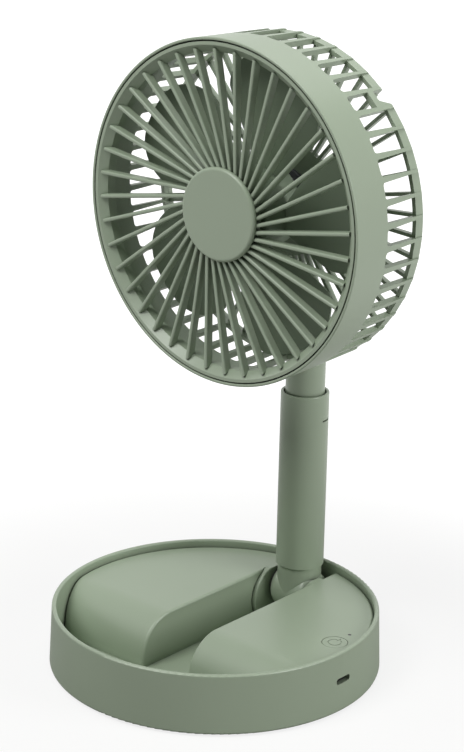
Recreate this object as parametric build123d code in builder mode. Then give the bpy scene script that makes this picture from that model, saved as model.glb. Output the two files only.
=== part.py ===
"""Folding desk fan: a round base cup, a folding pole of two tubes and a caged head.

The origin is on the table under the middle of the base, +Z is up and the fan blows towards -Y.
Lengths are in millimetres and angles in degrees.
"""

import os
from math import cos, radians, sin, sqrt, tan

from build123d import *

os.makedirs("parts", exist_ok=True)

# Clearances shared by many pieces
running_fit = 0.05  # radial room between a shaft and the hole that it turns or slides in
seat_fit = 0.05  # radial room between two fixed pieces, one inside the other
face_gap = 0.3  # room between the faces of two pieces that move past each other
overrun = 2.0  # how far a cut runs past the face that it opens

# Base cup
base_rim_radius = 85.0
base_foot_radius = 86.4
base_height = 32.6
base_wall = 2.4
base_floor = 2.2
base_rim_round = 1.0
base_edge_round = 1.5

# Rubber feet under the base
foot_radius = 7.0
foot_thickness = 1.6
foot_standoff = 0.8
foot_inset = 15.7
foot_count = 4

# Pods, the two raised boxes on either side of the channel
pod_gap = 0.3
pod_drop = 3.9
pod_wall = 2.0
pod_front = 38.5
pod_shoulder = 21.0
pod_edge_round = 1.4
channel_width = 31.0
channel_clearance = 2.1
cheek_gap_width = 26.6
cheek_radius = 16.2
cheek_ahead = 4.4
cheek_drop = 5.0
cheek_round = 0.9
cheek_groove = 0.7
cheek_sink = 1.0

# Screws that hold the pods from below
pod_screw_radius = 1.4
pod_screw_length = 11.0
pod_screw_head_radius = 2.7
pod_screw_head = 1.1
pod_boss_radius = 3.2
pod_screw_front_share = 0.36
pod_screw_rear_share = 0.78
pod_screw_rear_side_share = 0.42
pod_screw_side_share = 0.9
pod_screw_side_front_share = 0.6
pod_screw_wall_share = 2.2

# Pole tubes
tube_radius = 12.9
tube_wall = 1.7
tube_length = 97.8
tube_lip_round = 0.6
slit_width = 7.0
slit_height = 0.8
slit_drop = 14.4
slit_back = 3.0
mast_radius = 10.5
mast_wall = 1.2

# Pole hinge in the base
barrel_radius = 12.0
barrel_gap = 2.2
barrel_round = 4.5
neck_radius = 11.9
neck_height = 16.6
spigot_length = 12.0
wire_bore = 4.5
hinge_pin_radius = 4.0
hinge_pin_bore = 2.4
hinge_boss_radius = 8.0
hinge_boss_length = 8.7
hinge_washer_radius = 9.0
hinge_washer_thickness = 0.6
hinge_washer_room = 0.9
hinge_clip_radius = 6.4
hinge_clip_thickness = 1.0
hinge_pin_end = 0.8
tube_screw_radius = 1.25
tube_screw_head_radius = 2.2
tube_screw_head = 1.0
tube_screw_length = 5.0
tube_screw_rise = 6.0

# Mast guides
bush_height = 12.0
bush_drop = 4.4
mast_foot_height = 4.0
mast_foot_spigot = 8.0
mast_foot_gap = 1.4

# Tilt hinge at the top of the mast
ear_gap = 1.6
ear_radius = 7.0
ear_thickness = 4.2
tongue_width = 9.4
tongue_depth = 13.0
mast_cap = 1.5
mast_plug = 11.0
mast_top_drop = 12.0
tilt_pin_radius = 2.5
tilt_hub_radius = 4.75
tilt_cap_radius = 5.5
tilt_cap_thickness = 2.2
tilt_cap_round = 0.8

# Head
head_lip_radius = 86.7
cage_rear_radius = 84.8
head_depth = 54.5
hinge_inset = 4.4
hinge_offset = 17.5
band_depth = 24.0
band_wall = 2.4
lip_wall = 1.5
lip_round = 0.55
recess_depth = 9.0
cage_thickness = 3.0
cage_rear_round = 2.0
bar_count = 48
bar_front_width = 3.2
bar_rear_width = 1.8
slot_round = 1.6
rear_ring_depth = 6.0
ring_relief = 0.8
notch_depth = 9.1
notch_angle = 45.0
notch_round = 1.5
notch_slant = 3.5
notch_bar = 4.3
hub_plate_radius = 30.0
hub_plate_thickness = 3.0
pad_width = 12.0
pad_height = 22.0
pad_depth = 8.0
pad_drop = 0.8
pad_round = 2.0
pad_screw_spread = 8.0

# Tilt bracket on the back of the head
bracket_plate = 3.0
bracket_width = 20.0
bracket_low = 4.5
bracket_high = 21.5
arm_low_out = 5.0
arm_low_drop = 4.8
arm_high = 6.8
arm_root_high = 11.0
bracket_screw_radius = 1.4
bracket_screw_length = 6.5
bracket_screw_head_radius = 2.5
bracket_screw_head = 1.4
bracket_screw_high = 13.0

# Front grille
grille_gap = 0.7
grille_front = 0.3
grille_wall = 1.6
bevel_out = 1.65
bevel_width = 3.8
bevel_depth = 3.6
vane_count = 40
vane_thickness = 2.0
vane_skew = 9.1
vane_phase = -1.2
vane_front = 0.4
vane_rear = 4.9
vane_hub_front = 1.4
vane_hub_rear = 5.4
vane_round = 0.8
grille_hub_radius = 22.4
grille_hub_front = 1.2
grille_hub_rear = 5.6
cap_radius = 23.6
cap_thickness = 2.2
cap_round = 1.6
cap_spigot_radius = 12.0
cap_spigot_depth = 3.0

# Motor and rotor
rotor_gap = 6.5
impeller_hub_radius = 22.0
impeller_hub_depth = 25.0
impeller_wall = 1.6
impeller_hub_round = 2.5
blade_count = 5
blade_tip_gap = 7.8
blade_phase = 11.5
blade_span = 65.0
blade_corner = 22.0
blade_thickness = 1.5
blade_root_chord = 26.0
blade_mid_chord = 72.0
blade_tip_chord = 98.0
blade_root_pitch = 36.0
blade_mid_pitch = 14.0
blade_tip_pitch = 10.0
blade_root_camber = 2.4
blade_mid_camber = 4.2
blade_tip_camber = 5.5
blade_edge = 0.8
blade_setback = 17.0
can_wall = 1.0
can_depth = 22.0
magnet_thickness = 2.2
magnet_depth = 16.0
air_gap = 0.5
stator_depth = 13.0
stator_slots = 9
stator_slot_width = 2.2
stator_slot_depth = 6.5
shaft_radius = 1.5
bearing_gap = 0.5
bearing_radius = 4.0
bearing_width = 4.0
bearing_post_radius = 5.6
motor_flange_radius = 16.0
motor_flange = 2.0
motor_screw_circle = 11.0
motor_screw_radius = 1.0
motor_screw_head_radius = 1.9
motor_screw_head = 1.0
motor_screw_length = 4.4
motor_screw_count = 3

# Power button, its switch and the light
button_radius = 6.5
button_gap = 0.25
button_inset = 12.3
button_back = 12.0
button_flange = 1.0
button_flange_thickness = 1.0
button_travel = 0.8
button_stem_radius = 2.0
button_stem = 2.4
button_edge_round = 0.25
symbol_radius = 3.4
symbol_width = 0.5
symbol_depth = 0.25
symbol_gap = 2.0
symbol_bar = 3.2
led_spacing = 12.1
led_radius = 0.9
led_flange_radius = 1.8
led_flange = 0.8
led_chip_height = 1.2

# Control board and USB socket
usb_rise = 14.5
usb_width = 10.2
usb_height = 3.2
usb_corner = 1.3
socket_width = 8.9
socket_height = 2.9
socket_length = 9.0
socket_wall = 0.35
socket_inset = 0.7
socket_tongue = 0.7
socket_back = 1.5
board_thickness = 1.6
board_inner = 42.0
board_front = 13.0
board_back = 34.0
board_margin = 0.7
board_post_radius = 3.0
board_post_inset = 5.0
board_post_pitch = 21.0
board_screw_radius = 1.1
board_screw_head_radius = 2.1
board_screw_head = 1.2
board_screw_length = 7.0
chip_width = 9.0
chip_height = 1.4
coil_radius = 4.0
coil_height = 3.0
switch_width = 6.0
switch_height = 4.0
switch_stem_radius = 1.7

# Battery
cell_radius = 9.2
cell_length = 65.0
cell_pitch = 19.6
cell_cap_radius = 3.0
cell_cap = 1.2
cell_inner = 27.0
cell_front = 24.0
cradle_base = 1.4
cradle_height = 6.0
cradle_margin = 1.0
tab_thickness = 0.3
tab_width = 7.0

# Levels and places worked out from the sizes above
base_bottom = foot_standoff
floor_top = base_bottom + base_floor
base_inner_radius = base_rim_radius - base_wall
pod_radius = base_inner_radius - pod_gap
pod_top = base_height - pod_drop
pod_under = pod_top - pod_wall
pivot_z = floor_top + channel_clearance + tube_radius
pole_y = base_inner_radius - barrel_gap - barrel_radius
cheek_half = cheek_gap_width / 2
barrel_half = cheek_half - hinge_washer_room
tube_bottom = pivot_z + neck_height
tube_top = tube_bottom + tube_length
tube_bore = tube_radius - tube_wall
mast_bore = mast_radius - mast_wall
spigot_top = tube_bottom + spigot_length
mast_bottom = spigot_top + mast_foot_gap + mast_foot_height
fold_length = pole_y + base_inner_radius - ear_radius - ear_gap
tilt_z = pivot_z + fold_length
mast_top = tilt_z - mast_top_drop
head_z = tilt_z + cage_rear_radius - hinge_inset
rear_y = pole_y - hinge_offset
lip_y = rear_y - head_depth
taper = (head_lip_radius - cage_rear_radius) / head_depth
usb_z = floor_top + usb_rise
board_top = usb_z - socket_height / 2
board_bottom = board_top - board_thickness
button_x = pod_radius - button_inset
led_y = button_back + led_spacing

# Planes that pieces are drawn on
head_plane = Plane(origin=(0, lip_y, head_z), x_dir=(-1, 0, 0), z_dir=(0, 1, 0))
head_section = Plane(origin=(0, lip_y, head_z), x_dir=(0, 0, 1), z_dir=(-1, 0, 0))
head_axis = Axis((0, lip_y, head_z), (0, 1, 0))
underside = Plane(origin=(0, 0, base_bottom), x_dir=(1, 0, 0), z_dir=(0, 0, -1))


def shell_radius(depth):
    """Outside radius of the head at a depth behind the lip."""
    return head_lip_radius - taper * depth


def pod_screw_places(side):
    """Plan places of the three screws of one pod."""
    inner = side * (channel_width / 2 + pod_wall * pod_screw_wall_share)
    front = -pod_radius * pod_screw_front_share
    rear = pod_radius * pod_screw_rear_share
    rear_side = side * pod_radius * pod_screw_rear_side_share
    outer = side * pod_radius * pod_screw_side_share
    return [(inner, front), (rear_side, rear), (outer, front * pod_screw_side_front_share)]


def pod_blank(side, inset):
    """One pod's outer form, or its hollow when inset by the wall."""
    channel_x = side * (channel_width / 2 + inset)
    far_x = side * pod_radius
    front_y = -pod_front + inset
    top_z = pod_top - inset
    shoulder = pod_shoulder - inset
    with BuildPart() as blank:
        with BuildSketch(Plane.XY.offset(floor_top)):
            with BuildLine():
                Polyline(
                    (channel_x, front_y),
                    (channel_x, pod_radius),
                    (far_x, pod_radius),
                    (far_x, front_y),
                    close=True,
                )
            make_face()
            Circle(pod_radius - inset, mode=Mode.INTERSECT)
        extrude(amount=top_z - floor_top)
        with BuildSketch(Plane.YZ.offset(-pod_radius)):
            with BuildLine():
                CenterArc((front_y + shoulder, top_z - shoulder), shoulder, 180, -90)
                Polyline(
                    (front_y + shoulder, top_z),
                    (pod_radius, top_z),
                    (pod_radius, floor_top),
                    (front_y, floor_top),
                    (front_y, top_z - shoulder),
                )
            make_face()
        extrude(amount=2 * pod_radius, mode=Mode.INTERSECT)
    return blank.part


def hinge_cheek(side):
    """Round cheek on the channel side of a pod, level with the pod's top."""
    wall_middle = channel_width / 2 + cheek_sink
    with BuildPart() as cheek:
        with BuildSketch(Plane.YZ.offset(side * cheek_half)):
            with Locations((pole_y - cheek_ahead, pivot_z - cheek_drop)):
                Circle(cheek_radius)
        extrude(amount=side * (wall_middle - cheek_half))
        rims = cheek.edges().filter_by(GeomType.CIRCLE)
        fillet(rims.sort_by_distance((0, pole_y, pivot_z))[0], cheek_round)
        with BuildSketch(Plane.XY.offset(floor_top)):
            Circle(pod_radius)
        extrude(amount=pod_top - floor_top, mode=Mode.INTERSECT)
    return cheek.part


def pod_shell(side):
    """One pod: a shell open below, with screw bosses, the cheek and the boss of the pole pin."""
    boss_start = side * cheek_half
    with BuildPart() as hollow:
        add(pod_blank(side, pod_wall))
        with BuildSketch(Plane.XY.offset(floor_top)):
            with Locations(*pod_screw_places(side)):
                Circle(pod_boss_radius)
        extrude(amount=pod_top - floor_top, mode=Mode.SUBTRACT)
        with BuildSketch(Plane.YZ.offset(boss_start)):
            with Locations((pole_y, pivot_z)):
                Circle(hinge_boss_radius)
        extrude(amount=side * hinge_boss_length, mode=Mode.SUBTRACT)
    with BuildPart() as pod:
        add(pod_blank(side, 0))
        top_edges = pod.faces().sort_by(Axis.Z)[-1].edges()
        fillet(top_edges - top_edges.filter_by(Axis.X), pod_edge_round)
        add(hollow.part, mode=Mode.SUBTRACT)
        with BuildSketch(Plane.YZ.offset(side * channel_width / 2)):
            with Locations((pole_y - cheek_ahead, pivot_z - cheek_drop)):
                Circle(cheek_radius + cheek_groove)
        extrude(amount=side * cheek_sink, mode=Mode.SUBTRACT)
        add(hinge_cheek(side))
        with BuildSketch(Plane.YZ.offset(boss_start)):
            with Locations((pole_y, pivot_z)):
                Circle(hinge_pin_radius + seat_fit)
        extrude(amount=side * (hinge_boss_length + overrun), mode=Mode.SUBTRACT)
        with BuildSketch(Plane.XY.offset(floor_top)):
            with Locations(*pod_screw_places(side)):
                Circle(pod_screw_radius + seat_fit)
        extrude(amount=pod_screw_length, mode=Mode.SUBTRACT)
    return pod.part


# Base cup: floor, drafted wall with a rounded rim, posts for the board
board_post_places = [
    (board_inner + board_post_inset + column * board_post_pitch, row)
    for column in (0, 1)
    for row in (-board_front + board_post_inset, board_back - board_post_inset)
]
all_pod_screws = pod_screw_places(-1) + pod_screw_places(1)
foot_circle = base_rim_radius - foot_inset

with BuildPart() as base_shell:
    with BuildSketch(Plane.XZ):
        with BuildLine():
            Polyline(
                (0, base_bottom),
                (base_foot_radius, base_bottom),
                (base_rim_radius, base_height),
                (base_inner_radius, base_height),
                (base_inner_radius, floor_top),
                (0, floor_top),
                close=True,
            )
        make_face()
    revolve(axis=Axis.Z)
    rings = base_shell.edges().filter_by(GeomType.CIRCLE).group_by(Axis.Z)
    fillet(rings[-1], base_rim_round)
    fillet(rings[0], base_edge_round)
    with BuildSketch(Plane.YZ.offset(pod_radius - base_wall)):
        with Locations((0, usb_z)):
            RectangleRounded(usb_width, usb_height, usb_corner)
    extrude(amount=base_foot_radius, mode=Mode.SUBTRACT)
    with BuildSketch(Plane.XY.offset(floor_top)):
        with Locations(*board_post_places):
            Circle(board_post_radius)
    extrude(amount=board_bottom - floor_top)
    with BuildSketch(Plane.XY.offset(board_bottom)):
        with Locations(*board_post_places):
            Circle(board_screw_radius + seat_fit)
    extrude(amount=board_thickness - board_screw_length, mode=Mode.SUBTRACT)
    with Locations(underside):
        with PolarLocations(foot_circle, foot_count, start_angle=180 / foot_count):
            Hole(foot_radius + seat_fit, depth=foot_thickness - foot_standoff)
    with Locations(underside):
        with Locations(*[(x, -y) for x, y in all_pod_screws]):
            CounterBoreHole(
                pod_screw_radius + face_gap,
                pod_screw_head_radius + face_gap,
                pod_screw_head,
                depth=base_floor + overrun,
            )

# Feet: round pads let into the underside
with BuildPart() as rubber_feet:
    with BuildSketch(Plane.XY):
        with PolarLocations(foot_circle, foot_count, start_angle=180 / foot_count):
            Circle(foot_radius)
    extrude(amount=foot_thickness)

# Left pod, which covers the battery
with BuildPart() as left_pod:
    add(pod_shell(-1))

# Right pod, with the openings of the button, the light and the USB socket
with BuildPart() as right_pod:
    add(pod_shell(1))
    with BuildSketch(Plane.XY.offset(pod_under)):
        with Locations((button_x, button_back)):
            Circle(button_radius + button_gap)
        with Locations((button_x, led_y)):
            Circle(led_radius + seat_fit)
    extrude(amount=pod_wall + overrun, mode=Mode.SUBTRACT)
    with BuildSketch(Plane.YZ.offset(pod_radius - socket_length)):
        with Locations((0, usb_z)):
            RectangleRounded(usb_width, usb_height, usb_corner)
    extrude(amount=socket_length + overrun, mode=Mode.SUBTRACT)

# Screws driven up through the floor into the pods
with BuildPart() as base_screws:
    with BuildSketch(Plane.XY.offset(base_bottom)):
        with Locations(*all_pod_screws):
            Circle(pod_screw_head_radius)
    extrude(amount=pod_screw_head)
    with BuildSketch(Plane.XY.offset(base_bottom)):
        with Locations(*all_pod_screws):
            Circle(pod_screw_radius)
    extrude(amount=pod_screw_length)

# Battery cells, side by side under the left pod
cell_z = floor_top + cradle_base + cell_radius
cell_places = [-cell_inner - cell_radius - number * cell_pitch for number in (0, 1)]

with BuildPart() as battery_cells:
    with BuildSketch(Plane.XZ.offset(cell_front)):
        with Locations(*[(x, cell_z) for x in cell_places]):
            Circle(cell_radius)
    extrude(amount=-cell_length)
    with BuildSketch(Plane.XZ.offset(cell_front)):
        with Locations(*[(x, cell_z) for x in cell_places]):
            Circle(cell_cap_radius)
    extrude(amount=cell_cap)

# Cradle with a trough for each cell
with BuildPart() as battery_cradle:
    with BuildSketch(Plane.XZ.offset(cell_front - cradle_margin)):
        with Locations(((cell_places[0] + cell_places[1]) / 2, floor_top)):
            Rectangle(
                cell_pitch + 2 * cell_radius - 2 * cradle_margin,
                cradle_height,
                align=(Align.CENTER, Align.MIN),
            )
        with Locations(*[(x, cell_z) for x in cell_places]):
            Circle(cell_radius + seat_fit, mode=Mode.SUBTRACT)
    extrude(amount=2 * cradle_margin - cell_length)

# Tabs that join the two cells at each end
with BuildPart() as battery_tabs:
    for tab_y in (cell_front + cell_cap, -cell_length + cell_front - tab_thickness):
        with BuildSketch(Plane.XZ.offset(tab_y)):
            with Locations(((cell_places[0] + cell_places[1]) / 2, cell_z)):
                SlotOverall(cell_pitch + tab_width, tab_width)
        extrude(amount=tab_thickness)

# Control board with its chips and coil
with BuildPart() as control_board:
    with BuildSketch(Plane.XY.offset(board_bottom)):
        with Locations((board_inner, -board_front)):
            Rectangle(pod_radius, board_front + board_back, align=(Align.MIN, Align.MIN))
        Circle(pod_radius - pod_wall - board_margin, mode=Mode.INTERSECT)
        with Locations(*board_post_places):
            Circle(board_screw_radius + seat_fit, mode=Mode.SUBTRACT)
    extrude(amount=board_thickness)
    chip_x = board_inner + board_post_inset + board_post_pitch / 2
    with BuildSketch(Plane.XY.offset(board_top)):
        with Locations((chip_x, 0), (chip_x, board_back - board_post_inset)):
            Rectangle(chip_width, chip_width)
    extrude(amount=chip_height)
    with BuildSketch(Plane.XY.offset(board_top)):
        with Locations((chip_x - chip_width, board_back / 2)):
            Circle(coil_radius)
    extrude(amount=coil_height)
    with BuildSketch(Plane.XY.offset(board_top)):
        with Locations((button_x, led_y)):
            Rectangle(2 * led_radius, led_radius)
    extrude(amount=led_chip_height)

# Screws that hold the board on its posts
with BuildPart() as board_screws:
    with BuildSketch(Plane.XY.offset(board_top)):
        with Locations(*board_post_places):
            Circle(board_screw_head_radius)
    extrude(amount=board_screw_head)
    with BuildSketch(Plane.XY.offset(board_top)):
        with Locations(*board_post_places):
            Circle(board_screw_radius)
    extrude(amount=-board_screw_length)

# USB socket: a thin metal shell with a tongue, its mouth just inside the cup wall
socket_mouth = base_rim_radius - socket_inset - base_wall / 2
with BuildPart() as usb_socket:
    with BuildSketch(Plane.YZ.offset(socket_mouth)):
        with Locations((0, usb_z)):
            RectangleRounded(socket_width, socket_height, socket_height / 2 - seat_fit)
    extrude(amount=-socket_length)
    with BuildSketch(Plane.YZ.offset(socket_mouth)):
        with Locations((0, usb_z)):
            RectangleRounded(
                socket_width - 2 * socket_wall,
                socket_height - 2 * socket_wall,
                socket_height / 2 - socket_wall - seat_fit,
            )
            Rectangle(
                socket_width - 2 * socket_wall - socket_height,
                socket_tongue,
                mode=Mode.SUBTRACT,
            )
    extrude(amount=socket_back - socket_length, mode=Mode.SUBTRACT)

# Push button: a flush cap with a flange below the deck and a stem
button_low = pod_under - seat_fit - button_flange_thickness
with BuildPart() as power_button:
    with BuildSketch(Plane.XY.offset(button_low)):
        with Locations((button_x, button_back)):
            Circle(button_radius)
    extrude(amount=pod_top - button_low)
    fillet(power_button.edges().group_by(Axis.Z)[-1], button_edge_round)
    with BuildSketch(Plane.XY.offset(button_low)):
        with Locations((button_x, button_back)):
            Circle(button_radius + button_flange)
    extrude(amount=button_flange_thickness)
    with BuildSketch(Plane.XY.offset(button_low)):
        with Locations((button_x, button_back)):
            Circle(button_stem_radius)
    extrude(amount=-button_stem)
    with BuildSketch(Plane.XY.offset(pod_top - symbol_depth)):
        with Locations((button_x, button_back)):
            Circle(symbol_radius + symbol_width / 2)
            Circle(symbol_radius - symbol_width / 2, mode=Mode.SUBTRACT)
            Rectangle(
                symbol_gap,
                symbol_radius + symbol_width,
                align=(Align.CENTER, Align.MIN),
                mode=Mode.SUBTRACT,
            )
        with Locations((button_x, button_back + symbol_radius)):
            SlotOverall(symbol_bar, symbol_width, rotation=90)
    extrude(amount=symbol_depth + overrun, mode=Mode.SUBTRACT)

# Switch under the button
switch_top = button_low - button_stem - button_travel - seat_fit
with BuildPart() as button_switch:
    with BuildSketch(Plane.XY.offset(board_top)):
        with Locations((button_x, button_back)):
            Rectangle(switch_width, switch_width)
    extrude(amount=switch_height)
    with BuildSketch(Plane.XY.offset(board_top)):
        with Locations((button_x, button_back)):
            Circle(switch_stem_radius)
    extrude(amount=switch_top - board_top)

# Light pipe from the board to the deck
led_low = board_top + led_chip_height + face_gap
with BuildPart() as led_lens:
    with BuildSketch(Plane.XY.offset(led_low)):
        with Locations((button_x, led_y)):
            Circle(led_radius)
    extrude(amount=pod_top - led_low)
    with BuildSketch(Plane.XY.offset(pod_under)):
        with Locations((button_x, led_y)):
            Circle(led_flange_radius)
    extrude(amount=-led_flange)

# Pole hinge pin: a tube across the channel, held in both pods
hinge_pin_half = cheek_half + hinge_boss_length + hinge_clip_thickness + hinge_pin_end
with BuildPart() as pole_hinge_pin:
    with BuildSketch(Plane.YZ.offset(-hinge_pin_half)):
        with Locations((pole_y, pivot_z)):
            Circle(hinge_pin_radius)
            Circle(hinge_pin_bore, mode=Mode.SUBTRACT)
    extrude(amount=2 * hinge_pin_half)

# Friction washers beside the barrel and clips on the ends of the pin
washer_face = cheek_half - (hinge_washer_room - hinge_washer_thickness) / 2
with BuildPart() as pole_hinge_washers:
    for side in (-1, 1):
        with BuildSketch(Plane.YZ.offset(side * washer_face)):
            with Locations((pole_y, pivot_z)):
                Circle(hinge_washer_radius)
                Circle(hinge_pin_radius + seat_fit, mode=Mode.SUBTRACT)
        extrude(amount=-side * hinge_washer_thickness)

with BuildPart() as pole_hinge_clips:
    for side in (-1, 1):
        with BuildSketch(Plane.YZ.offset(side * (cheek_half + hinge_boss_length))):
            with Locations((pole_y, pivot_z)):
                Circle(hinge_clip_radius)
                Circle(hinge_pin_radius + seat_fit, mode=Mode.SUBTRACT)
        extrude(amount=side * hinge_clip_thickness)

# Pole knuckle: a rounded cross barrel with a neck and a spigot for the tube
with BuildPart() as pole_knuckle:
    with BuildSketch(Plane.YZ.offset(-barrel_half)):
        with Locations((pole_y, pivot_z)):
            Circle(barrel_radius)
    extrude(amount=2 * barrel_half)
    fillet(pole_knuckle.edges().filter_by(GeomType.CIRCLE), barrel_round)
    with BuildSketch(Plane.XY.offset(pivot_z)):
        with Locations((0, pole_y)):
            Circle(neck_radius)
    extrude(amount=neck_height)
    with BuildSketch(Plane.XY.offset(tube_bottom)):
        with Locations((0, pole_y)):
            Circle(tube_bore - seat_fit)
    extrude(amount=spigot_length)
    with BuildSketch(Plane.XY.offset(pivot_z)):
        with Locations((0, pole_y)):
            Circle(wire_bore)
    extrude(amount=neck_height + spigot_length, mode=Mode.SUBTRACT)
    with BuildSketch(Plane.YZ.offset(-barrel_half)):
        with Locations((pole_y, pivot_z)):
            Circle(hinge_pin_radius + running_fit)
    extrude(amount=2 * barrel_half, mode=Mode.SUBTRACT)
    with BuildSketch(Plane.XZ.offset(-pole_y - tube_radius)):
        with Locations((0, tube_bottom + tube_screw_rise)):
            Circle(tube_screw_radius + seat_fit)
    extrude(amount=tube_radius, mode=Mode.SUBTRACT)

# Outer tube, with a slit near its mouth and a countersunk hole behind for its screw
with BuildPart() as outer_tube:
    with BuildSketch(Plane.XY.offset(tube_bottom)):
        with Locations((0, pole_y)):
            Circle(tube_radius)
            Circle(tube_bore, mode=Mode.SUBTRACT)
    extrude(amount=tube_length)
    fillet(outer_tube.edges().group_by(Axis.Z)[-1], tube_lip_round)
    with BuildSketch(Plane.YZ):
        with Locations((pole_y + slit_back, tube_top - slit_drop)):
            SlotOverall(slit_width, slit_height)
    extrude(amount=tube_radius, mode=Mode.SUBTRACT)
    with BuildSketch(Plane.XZ.offset(-pole_y - tube_radius)):
        with Locations((0, tube_bottom + tube_screw_rise)):
            Circle(tube_screw_radius + seat_fit)
    extrude(amount=tube_radius, mode=Mode.SUBTRACT)
    with BuildSketch(Plane.XZ.offset(-pole_y - tube_radius)):
        with Locations((0, tube_bottom + tube_screw_rise)):
            Circle(tube_screw_head_radius + seat_fit)
    extrude(amount=tube_screw_head, mode=Mode.SUBTRACT)

# Screw that holds the tube on the knuckle
with BuildPart() as tube_screw:
    with BuildSketch(Plane.XZ.offset(-pole_y - tube_radius)):
        with Locations((0, tube_bottom + tube_screw_rise)):
            Circle(tube_screw_head_radius)
    extrude(amount=tube_screw_head)
    with BuildSketch(Plane.XZ.offset(-pole_y - tube_radius)):
        with Locations((0, tube_bottom + tube_screw_rise)):
            Circle(tube_screw_radius)
    extrude(amount=tube_screw_length)

# Guide bush just inside the mouth of the outer tube
with BuildPart() as mast_bush:
    with BuildSketch(Plane.XY.offset(tube_top - bush_drop)):
        with Locations((0, pole_y)):
            Circle(tube_bore - seat_fit)
            Circle(mast_radius + running_fit, mode=Mode.SUBTRACT)
    extrude(amount=-bush_height)

# Mast: the inner tube that slides in the outer one
with BuildPart() as mast_tube:
    with BuildSketch(Plane.XY.offset(mast_bottom)):
        with Locations((0, pole_y)):
            Circle(mast_radius)
            Circle(mast_bore, mode=Mode.SUBTRACT)
    extrude(amount=mast_top - mast_bottom)

# Foot bush that guides the lower end of the mast
with BuildPart() as mast_foot:
    with BuildSketch(Plane.XY.offset(mast_bottom)):
        with Locations((0, pole_y)):
            Circle(tube_bore - running_fit)
    extrude(amount=-mast_foot_height)
    with BuildSketch(Plane.XY.offset(mast_bottom)):
        with Locations((0, pole_y)):
            Circle(mast_bore - seat_fit)
    extrude(amount=mast_foot_spigot)
    with BuildSketch(Plane.XY.offset(mast_bottom - mast_foot_height)):
        with Locations((0, pole_y)):
            Circle(wire_bore)
    extrude(amount=mast_foot_height + mast_foot_spigot, mode=Mode.SUBTRACT)

# Mast head: a plug in the top of the mast with a tongue for the tilt pin
with BuildPart() as mast_head:
    with BuildSketch(Plane.XY.offset(mast_top)):
        with Locations((0, pole_y)):
            Circle(mast_radius)
    extrude(amount=mast_cap)
    fillet(mast_head.edges().group_by(Axis.Z)[-1], mast_cap / 2)
    with BuildSketch(Plane.XY.offset(mast_top)):
        with Locations((0, pole_y)):
            Circle(mast_bore - seat_fit)
    extrude(amount=-mast_plug)
    with BuildSketch(Plane.YZ.offset(-tongue_width / 2)):
        with Locations((pole_y, mast_top)):
            Rectangle(tongue_depth, mast_top_drop, align=(Align.CENTER, Align.MIN))
        with Locations((pole_y, tilt_z)):
            Circle(tongue_depth / 2)
    extrude(amount=tongue_width)
    with BuildSketch(Plane.YZ.offset(-tongue_width / 2)):
        with Locations((pole_y, tilt_z)):
            Circle(tilt_pin_radius + running_fit)
    extrude(amount=tongue_width, mode=Mode.SUBTRACT)

# Tilt hinge: a pin through the tongue, a friction hub and a cap on each side
hub_inner = tongue_width / 2 + face_gap
ear_inner = hub_inner + face_gap / 2
hub_outer = ear_inner + ear_thickness + face_gap / 2
tilt_pin_half = hub_outer + tilt_cap_thickness / 2

with BuildPart() as tilt_pin:
    with BuildSketch(Plane.YZ.offset(-tilt_pin_half)):
        with Locations((pole_y, tilt_z)):
            Circle(tilt_pin_radius)
    extrude(amount=2 * tilt_pin_half)

with BuildPart() as tilt_hubs:
    for side in (-1, 1):
        with BuildSketch(Plane.YZ.offset(side * hub_inner)):
            with Locations((pole_y, tilt_z)):
                Circle(tilt_hub_radius)
                Circle(tilt_pin_radius + seat_fit, mode=Mode.SUBTRACT)
        extrude(amount=side * (hub_outer - hub_inner))

with BuildPart() as tilt_caps:
    for side in (-1, 1):
        with BuildSketch(Plane.YZ.offset(side * hub_outer)):
            with Locations((pole_y, tilt_z)):
                Circle(tilt_cap_radius)
        extrude(amount=side * tilt_cap_thickness)
    cap_rings = tilt_caps.edges().filter_by(GeomType.CIRCLE).sort_by(Axis.X)
    fillet([cap_rings[0], cap_rings[-1]], tilt_cap_round)
    with BuildSketch(Plane.YZ.offset(-tilt_pin_half)):
        with Locations((pole_y, tilt_z)):
            Circle(tilt_pin_radius + seat_fit)
    extrude(amount=2 * tilt_pin_half, mode=Mode.SUBTRACT)

# Tilt bracket: a plate on the back of the head with an arm and an ear on each side
plate_back_y = rear_y + bracket_plate
with BuildPart() as tilt_bracket:
    for side in (-1, 1):
        with BuildSketch(Plane.YZ.offset(side * ear_inner)):
            with BuildLine():
                Polyline(
                    (pole_y - arm_low_out, tilt_z - arm_low_drop),
                    (plate_back_y, tilt_z + bracket_low),
                    (plate_back_y, tilt_z + arm_root_high),
                    (pole_y, tilt_z + arm_high),
                    close=True,
                )
            make_face()
            with Locations((pole_y, tilt_z)):
                Circle(ear_radius)
                Circle(tilt_hub_radius + running_fit, mode=Mode.SUBTRACT)
        extrude(amount=side * ear_thickness)
    with BuildSketch(Plane.XZ.offset(-rear_y)):
        with Locations((0, tilt_z + bracket_low)):
            Rectangle(
                bracket_width,
                bracket_high - bracket_low,
                align=(Align.CENTER, Align.MIN),
            )
        with Locations((0, tilt_z + bracket_screw_high)):
            with GridLocations(0, pad_screw_spread, 1, 2):
                Circle(bracket_screw_radius + seat_fit, mode=Mode.SUBTRACT)
    extrude(amount=-bracket_plate)

# Screws of the bracket
with BuildPart() as bracket_screws:
    with BuildSketch(Plane.XZ.offset(-plate_back_y)):
        with Locations((0, tilt_z + bracket_screw_high)):
            with GridLocations(0, pad_screw_spread, 1, 2):
                Circle(bracket_screw_head_radius)
    extrude(amount=-bracket_screw_head)
    with BuildSketch(Plane.XZ.offset(-plate_back_y)):
        with Locations((0, tilt_z + bracket_screw_high)):
            with GridLocations(0, pad_screw_spread, 1, 2):
                Circle(bracket_screw_radius)
    extrude(amount=bracket_screw_length)

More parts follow.
